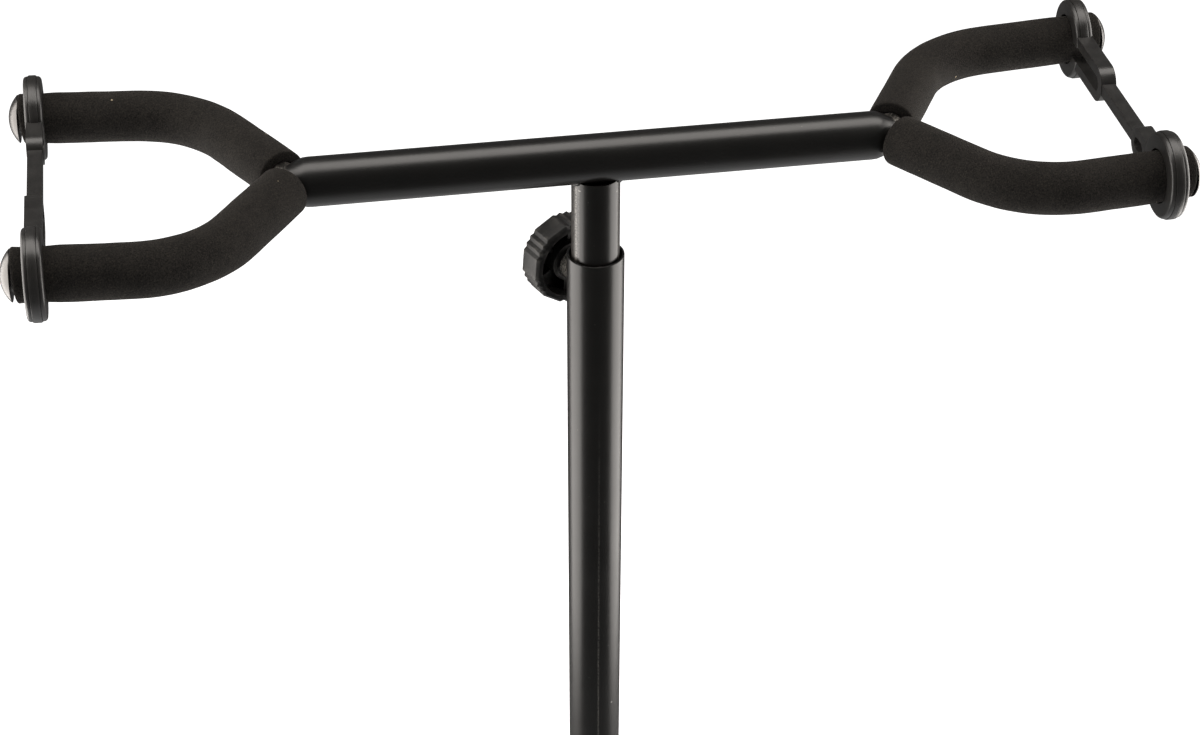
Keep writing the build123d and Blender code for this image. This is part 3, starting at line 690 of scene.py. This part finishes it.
def nylon_material():
    """Glass-filled nylon: satin black with fine spark-eroded grain and slightly lighter edges, partly rubbed
    and partly a painted highlight.
    """
    material, tree, shader, place = new_material("knob_nylon")
    cloud = noise(tree, place, 200, 3)
    grain = noise(tree, place, 2200, 2)
    base = tint(tree, cloud, (0.006, 0.006, 0.0058), (0.011, 0.0108, 0.0105))
    # The ridges and edges are painted lighter: partly rubbed nylon, partly a painted highlight.
    corners = node(tree, "ShaderNodeNewGeometry").outputs["Pointiness"]
    worn_edge_and_highlight = product(tree, ramp(tree, corners, 0.515, 0.58), ramp(tree, cloud, 0.45, 0.6))
    base = tint(tree, worn_edge_and_highlight, base, (0.09, 0.085, 0.078))
    base = tint(tree, specks(tree, place, 350, 0.05, 0.15), base, (0.2, 0.19, 0.17))
    tree.links.new(base, shader.inputs["Base Color"])
    tree.links.new(ramp(tree, grain, 0.3, 0.7, 0.38, 0.48), shader.inputs["Roughness"])
    tree.links.new(bumped(tree, grain, 0.00003, 0.4), shader.inputs["Normal"])
    shader.inputs["Specular IOR Level"].default_value = 0.25
    return material


knob_nylon = nylon_material()


def knob_outline(corner, number, radius):
    """Moves one corner of a circle onto a flat, a ridge or the groove beside it."""
    period = KNOB_CORNERS // KNOB_SIDES
    step = (number - FLAT_START) % period
    one = 2 * pi / KNOB_CORNERS
    reach = radius
    if step < FLAT_CORNERS:
        reach = radius * cos(one * FLAT_CORNERS / 2) / cos(one * (step - FLAT_CORNERS / 2))
    elif step % 2:
        reach = radius - KNOB_RIDGE
    corner.co *= reach / corner.co.length


def knob(name, radius, length, at, direction, turn):
    """Draws a knob with its axis along Z, its open side at the origin, and carries it to its clamp."""
    bpy.ops.mesh.primitive_circle_add(vertices=KNOB_CORNERS, radius=radius, fill_type="NGON")
    made = bpy.context.active_object
    for number, corner in enumerate(made.data.vertices):
        knob_outline(corner, number, radius)
    straight = length - 2 * KNOB_CHAMFER
    small = (radius - KNOB_CHAMFER) / radius
    edit(made)
    bpy.ops.mesh.select_all(action="SELECT")
    bpy.ops.mesh.extrude_region_move(TRANSFORM_OT_translate={"value": (0, 0, straight)})
    bpy.ops.mesh.extrude_region_move(TRANSFORM_OT_translate={"value": (0, 0, KNOB_CHAMFER)})
    bpy.ops.transform.resize(value=(small, small, 1), center_override=(0, 0, 0))
    bpy.ops.object.mode_set(mode="OBJECT")
    for corner in made.data.vertices:
        corner.co.z += KNOB_CHAMFER
    pick(made, lambda middle, normal: abs(normal.z) > 0.9 and middle.z < 2 * KNOB_CHAMFER)
    bpy.ops.mesh.extrude_region_move(TRANSFORM_OT_translate={"value": (0, 0, -KNOB_CHAMFER)})
    bpy.ops.transform.resize(value=(small, small, 1), center_override=(0, 0, 0))
    bpy.ops.object.mode_set(mode="OBJECT")
    worked(made, "BEVEL", width=KNOB_EDGE, segments=2, angle_limit=radians(25))
    hollow = length - KNOB_FACE
    inner = radius - KNOB_RIDGE - KNOB_WALL
    combine(made, disc(inner, hollow, 0, KNOB_CORNERS), "DIFFERENCE")
    boss_half = (hollow - BOSS_RECESS + JOIN) / 2
    boss = disc(BOSS_R, boss_half, 0)
    boss.data.transform(Matrix.Translation((0, 0, BOSS_RECESS + boss_half)))
    pick(boss, lambda middle, normal: normal.z < -0.9)
    bpy.ops.mesh.inset(thickness=DISH_RIM)
    bpy.ops.mesh.extrude_region_move(TRANSFORM_OT_translate={"value": (0, 0, DISH_DEPTH)})
    bpy.ops.object.mode_set(mode="OBJECT")
    worked(boss, "BEVEL", width=BOSS_EDGE, segments=3, angle_limit=radians(50))
    combine(made, boss, "UNION")
    rib_depth = hollow / 2
    for side in range(KNOB_SIDES):
        rib = block(BOSS_R - RIB_INTO, inner + RIB_INTO, RIB_HALF, rib_depth / 2)
        rib.data.transform(Matrix.Translation((0, 0, hollow - rib_depth / 2 + JOIN)))
        rib.data.transform(Matrix.Rotation(2 * pi * (side + 0.5) / KNOB_SIDES, 4, "Z"))
        combine(made, rib, "UNION")
    combine(made, disc(SCREW_BORE_R, length - KNOB_FACE / 2, 0, 48), "DIFFERENCE")
    outwards = Matrix.Rotation(direction, 4, "Z") @ Matrix.Rotation(pi / 2, 4, "Y")
    made.data.transform(Matrix.Translation(at) @ outwards @ Matrix.Rotation(turn, 4, "Z"))
    settled(made, name, 30)
    made.data.materials.append(knob_nylon)
    return made


height_knob_at = clamp_foot + (TUBE_R + HEIGHT_KNOB_GAP) * clamp_out
height_knob = knob("height_clamp_knob", HEIGHT_KNOB_R, HEIGHT_KNOB_LENGTH, height_knob_at,
                   CLAMP_TURN, HEIGHT_KNOB_TURN)
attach(height_knob, "height_knob")
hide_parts("height_knob")
collar_low, collar_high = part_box("collar")
collar_z = (collar_low.z + collar_high.z) / 2
collar_knob_at = Vector((POLE.x, POLE.y - COLLAR_R - COLLAR_KNOB_GAP, collar_z))
collar_knob = knob("collar_clamp_knob", COLLAR_KNOB_R, COLLAR_KNOB_LENGTH, collar_knob_at,
                   COLLAR_CLAMP_TURN, 0)
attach(collar_knob, "collar_knob")
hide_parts("collar_knob")

# --- Clamp screws, nut, insert, rivets and pins ----------------------------------------------------
# Small turned steel parts, zinc plated bright. The screws carry an M8 thread, which is only a fine
# pattern here. The nut is welded to the pole and painted with it; the rivets and pins hold the joints.


def zinc_material(name, thread):
    """Zinc plate: cloudy and finely grained, with small dark stains, and with a thread if asked."""
    material, tree, shader, place = new_material(name)
    cloud = noise(tree, place, 260, 4, 0.6)
    base = tint(tree, cloud, (0.42, 0.42, 0.40), (0.62, 0.61, 0.58))
    base = tint(tree, specks(tree, place, 500, 0.1, 0.2), base, (0.16, 0.15, 0.14))
    tree.links.new(base, shader.inputs["Base Color"])
    tree.links.new(ramp(tree, cloud, 0.3, 0.7, 0.22, 0.38), shader.inputs["Roughness"])
    normal = bumped(tree, noise(tree, place, 1300, 3), 0.00003, 0.4)
    if thread:
        turned = node(tree, "ShaderNodeMapping", {"Vector": place, "Rotation": (0, 0, -CLAMP_TURN)})
        waves = node(tree, "ShaderNodeTexWave", {"Vector": turned.outputs["Vector"], "Scale": 250.0},
                     bands_direction="X")
        normal = bumped(tree, waves.outputs["Fac"], 0.0005, 0.8, normal)
    tree.links.new(normal, shader.inputs["Normal"])
    shader.inputs["Metallic"].default_value = 1.0
    return material


zinc = zinc_material("zinc_plate", False)
zinc_thread = zinc_material("zinc_thread", True)
for name in ("height_screw", "collar_screw"):
    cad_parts[name].material_slots[0].material = zinc_thread
for name in ["collar_insert", "collar_rivets"] + [f"brace_pins_{n}" for n in (1, 2, 3)]:
    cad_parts[name].material_slots[0].material = zinc
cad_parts["clamp_nut"].material_slots[0].material = black_paint

# --- Guide bush and stem end plug ------------------------------------------------------------------
# Hidden in the pole: a turned nylon ring that guides the stem, and the moulded plug that is pressed
# into the stem and keeps the ring on. The collar and the hub are moulded in the plug's black nylon.


def moulded_material(name, dark, light, roughness):
    """Moulded plastic with a fine eroded grain and a little flow mottling."""
    material, tree, shader, place = new_material(name)
    flow = noise(tree, place, 70, 4, 0.55)
    grain = noise(tree, place, 1800, 2)
    base = tint(tree, flow, dark, light)
    base = tint(tree, specks(tree, place, 300, 0.03, 0.15), base, tuple(4 * c for c in light))
    tree.links.new(base, shader.inputs["Base Color"])
    uneven = ramp(tree, grain, 0.3, 0.7, roughness - 0.05, roughness + 0.06)
    tree.links.new(uneven, shader.inputs["Roughness"])
    tree.links.new(bumped(tree, grain, 0.00005, 0.6), shader.inputs["Normal"])
    return material


bush_nylon = moulded_material("bush_nylon", (0.50, 0.49, 0.45), (0.60, 0.59, 0.55), 0.45)
hub_nylon = moulded_material("hub_nylon", (0.011, 0.011, 0.011), (0.019, 0.019, 0.0185), 0.42)
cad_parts["guide_bush"].material_slots[0].material = bush_nylon
for name in ("stem_end_plug", "base_hub", "collar"):
    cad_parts[name].material_slots[0].material = hub_nylon

# --- Legs and braces -------------------------------------------------------------------------------
# The legs are 16 mm steel tubes with their top ends pressed flat, and each brace is a pair of flat
# steel bars. They are painted satin black before they are joined to the collar and the hub.
for number in (1, 2, 3):
    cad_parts[f"leg_{number}"].material_slots[0].material = black_paint
    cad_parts[f"brace_{number}"].material_slots[0].material = black_paint

# --- Leg foam --------------------------------------------------------------------------------------
# A short piece of the same foam tube, pushed onto each leg where the guitar's body rests. Its ends
# are cut square and softly rounded.
LEG_TURNS = (radians(90), radians(210), radians(330))
LEG_SLOPE = radians(60)
PIVOT_R = 0.030
LEG_R = 0.008
LEG_FOAM_R = 0.013
LEG_FOAM_FROM = 0.048
LEG_FOAM_TO = 0.110
LEG_FOAM_SLICES = 16
LEG_FOAM_EDGE = 0.0012
LEG_FOAM_LUMP = 0.014


def on_leg(turn):
    """The place of something drawn along +X from the leg's top pivot."""
    pivot = Matrix.Translation((PIVOT_R, 0, 0))
    stood = Matrix.Translation((POLE.x, POLE.y, collar_z)) @ Matrix.Rotation(turn, 4, "Z")
    return stood @ pivot @ Matrix.Rotation(pi / 2 - LEG_SLOPE, 4, "Y")


bpy.ops.mesh.primitive_cylinder_add(vertices=64, radius=LEG_FOAM_R, depth=LEG_FOAM_TO - LEG_FOAM_FROM,
                                    end_fill_type="NOTHING", rotation=(0, pi / 2, 0),
                                    location=((LEG_FOAM_FROM + LEG_FOAM_TO) / 2, 0, 0))
leg_foam = bpy.context.active_object
bpy.ops.object.transform_apply(location=True, rotation=True, scale=True)
edit(leg_foam)
for number in range(1, LEG_FOAM_SLICES):
    bpy.ops.mesh.select_all(action="SELECT")
    cut_x = LEG_FOAM_FROM + (LEG_FOAM_TO - LEG_FOAM_FROM) * number / LEG_FOAM_SLICES
    bpy.ops.mesh.bisect(plane_co=(cut_x, 0, 0), plane_no=(1, 0, 0))
worked(leg_foam, "SOLIDIFY", thickness=LEG_FOAM_R - LEG_R, offset=-1)
worked(leg_foam, "BEVEL", width=LEG_FOAM_EDGE, segments=3, angle_limit=radians(60))
for number, turn in enumerate(LEG_TURNS, start=1):
    piece = bpy.data.objects.new(f"leg_pad_{number}", leg_foam.data.copy())
    bpy.context.scene.collection.objects.link(piece)
    piece.data.transform(on_leg(turn))
    settled(piece, f"leg_pad_{number}", 50)
    foam_surface(piece, f"leg_{number}", LEG_FOAM_LUMP + LUMP_STEP * number)
    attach(piece, f"leg_{number}")
    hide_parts(f"leg_foam_{number}")
bpy.data.objects.remove(leg_foam)

# --- Feet ------------------------------------------------------------------------------------------
# Boots moulded in the straps' black rubber and pushed on the legs' ends. Each has three grip rings
# and a flat that stands on the floor.
LEG_LENGTH = 0.352
FOOT_R = 0.0104
FOOT_END = 0.004
FOOT_LENGTH = 0.030
FOOT_EDGE = 0.0005
FOOT_RINGS = (0.006, 0.011, 0.016)
FOOT_RING_HALF = 0.0012
FOOT_RING_STAND = 0.0006

boot_from = LEG_LENGTH + FOOT_END - FOOT_LENGTH
bpy.ops.mesh.primitive_cylinder_add(vertices=72, radius=FOOT_R, depth=FOOT_LENGTH,
                                    rotation=(0, pi / 2, 0), location=(boot_from + FOOT_LENGTH / 2, 0, 0))
boot = bpy.context.active_object
bpy.ops.object.transform_apply(location=True, rotation=True, scale=True)
for ring_from_end in FOOT_RINGS:
    ring_x = boot_from + ring_from_end
    for cut_x in (ring_x - FOOT_RING_HALF, ring_x + FOOT_RING_HALF):
        edit(boot)
        bpy.ops.mesh.select_all(action="SELECT")
        bpy.ops.mesh.bisect(plane_co=(cut_x, 0, 0), plane_no=(1, 0, 0))
    pick(boot, lambda middle, normal: abs(middle.x - ring_x) < FOOT_RING_HALF and abs(normal.x) < 0.1)
    bpy.ops.mesh.extrude_region_shrink_fatten(TRANSFORM_OT_shrink_fatten={"value": FOOT_RING_STAND})
bpy.ops.object.mode_set(mode="OBJECT")
pick(boot, lambda middle, normal: normal.x < -0.9 and middle.x < boot_from + FOOT_RING_HALF)
bpy.ops.mesh.inset(thickness=FOOT_R - LEG_R)
bpy.ops.mesh.extrude_region_move(TRANSFORM_OT_translate={"value": (FOOT_LENGTH - FOOT_END, 0, 0)})
worked(boot, "BEVEL", width=FOOT_EDGE, segments=3, angle_limit=radians(50))
for number, turn in enumerate(LEG_TURNS, start=1):
    piece = bpy.data.objects.new(f"rubber_foot_{number}", boot.data.copy())
    bpy.context.scene.collection.objects.link(piece)
    piece.data.transform(on_leg(turn))
    edit(piece)
    bpy.ops.mesh.select_all(action="SELECT")
    bpy.ops.mesh.bisect(plane_co=(0, 0, 0), plane_no=(0, 0, 1), use_fill=True, clear_inner=True)
    settled(piece, f"rubber_foot_{number}", 40)
    piece.data.materials.append(strap_rubber)
    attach(piece, f"leg_{number}")
    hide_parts(f"foot_{number}")
bpy.data.objects.remove(boot)

# --- Studio ----------------------------------------------------------------------------------------
# White floor, a strip light at each side of the pole, a wide light overhead, and a room that is white
# to the eye and dim in the reflections, so that the black parts keep their contrast.
SIDE_LIGHTS = ((-85, 0.75), (96, 0.75))
SIDE_DISTANCE = 0.70
SIDE_HEIGHT = 1.25
SIDE_FLOOR_GAP = 0.03
SIDE_RADIANCE = 4.5
TOP_SIZE = (1.7, 0.58)
TOP_DISTANCE = 0.80
TOP_BEHIND = radians(8)
TOP_RADIANCE = 4.5
FLOOR_GAP = 0.0002
ROOM_GLOW = 0.05

bpy.ops.mesh.primitive_plane_add(size=30, location=(0, 0, -FLOOR_GAP))
floor = bpy.context.active_object
floor.name = "studio_floor"
material, tree, shader, place = new_material("studio_white")
cloud = noise(tree, place, 0.7, 2)
tree.links.new(tint(tree, cloud, (0.80, 0.80, 0.80), (0.84, 0.84, 0.84)), shader.inputs["Base Color"])
shader.inputs["Roughness"].default_value = 1.0
shader.inputs["Emission Color"].default_value = (1, 1, 1, 1)
shader.inputs["Emission Strength"].default_value = 1.1
floor.data.materials.append(material)
floor.visible_glossy = False

world = bpy.data.worlds.new("white_room")
bpy.context.scene.world = world
world.use_nodes = True
tree = world.node_tree
tree.nodes.clear()
around = node(tree, "ShaderNodeTexCoord").outputs["Generated"]
direction = node(tree, "ShaderNodeSeparateXYZ", {"Vector": around})
downwards = ramp(tree, direction.outputs["Z"], -0.60, -0.95, 0, 0.65)
backwards = ramp(tree, direction.outputs["Y"], 0.1, 1.0, 0, 0.05)
glow = node(tree, "ShaderNodeMath", {0: downwards, 1: backwards}, operation="ADD")
glow = node(tree, "ShaderNodeMath", {0: glow.outputs["Value"], 1: ROOM_GLOW}, operation="ADD")
room = node(tree, "ShaderNodeBackground", {"Color": (1, 1, 1, 1), "Strength": glow.outputs["Value"]})
white = node(tree, "ShaderNodeBackground", {"Color": (1, 1, 1, 1), "Strength": 1.0})
seen = node(tree, "ShaderNodeLightPath").outputs["Is Camera Ray"]
mixed = node(tree, "ShaderNodeMixShader", {0: seen, 1: room.outputs[0], 2: white.outputs[0]})
node(tree, "ShaderNodeOutputWorld", {"Surface": mixed.outputs[0]})


def soft_light(name, place, aim, size, radiance):
    """A slightly warm rectangular light that the camera doesn't see."""
    light = bpy.data.lights.new(name, "AREA")
    light.shape = "RECTANGLE"
    light.size, light.size_y = size
    light.energy = radiance * pi * size[0] * size[1]
    light.color = (1.0, 0.955, 0.91)
    holder = bpy.data.objects.new(name, light)
    bpy.context.scene.collection.objects.link(holder)
    holder.location = place
    holder.rotation_euler = (aim - place).to_track_quat("-Z", "Y").to_euler()
    holder.visible_camera = False


CAMERA_FROM_BAR = Vector((-0.13603, -0.75813, 0.41767))
CAMERA_TILT = radians(55.727)
CAMERA_TURN = radians(-10.333)
CAMERA_ROLL = radians(0.248)
CAMERA_LENS = 61.81
to_camera = Vector((CAMERA_FROM_BAR.x, CAMERA_FROM_BAR.y, 0)).normalized()
for side_turn, width in SIDE_LIGHTS:
    out = to_camera.copy()
    out.rotate(Matrix.Rotation(radians(side_turn), 3, "Z"))
    lamp_z = SIDE_HEIGHT / 2 + SIDE_FLOOR_GAP
    middle = Vector((POLE.x, POLE.y, lamp_z))
    soft_light("side_light", middle + SIDE_DISTANCE * out, middle, (width, SIDE_HEIGHT), SIDE_RADIANCE)
top_at = BAR + TOP_DISTANCE * Vector((0, sin(TOP_BEHIND), cos(TOP_BEHIND)))
soft_light("top_light", top_at, BAR, TOP_SIZE, TOP_RADIANCE)

camera = bpy.data.objects.new("camera", bpy.data.cameras.new("camera"))
bpy.context.scene.collection.objects.link(camera)
camera.location = BAR + CAMERA_FROM_BAR
camera.rotation_euler = (CAMERA_TILT, 0, CAMERA_TURN)
camera.rotation_euler.rotate_axis("Z", CAMERA_ROLL)
camera.data.lens = CAMERA_LENS
camera.data.clip_start = 0.01
bpy.context.scene.camera = camera
bpy.context.scene.view_settings.view_transform = "Standard"
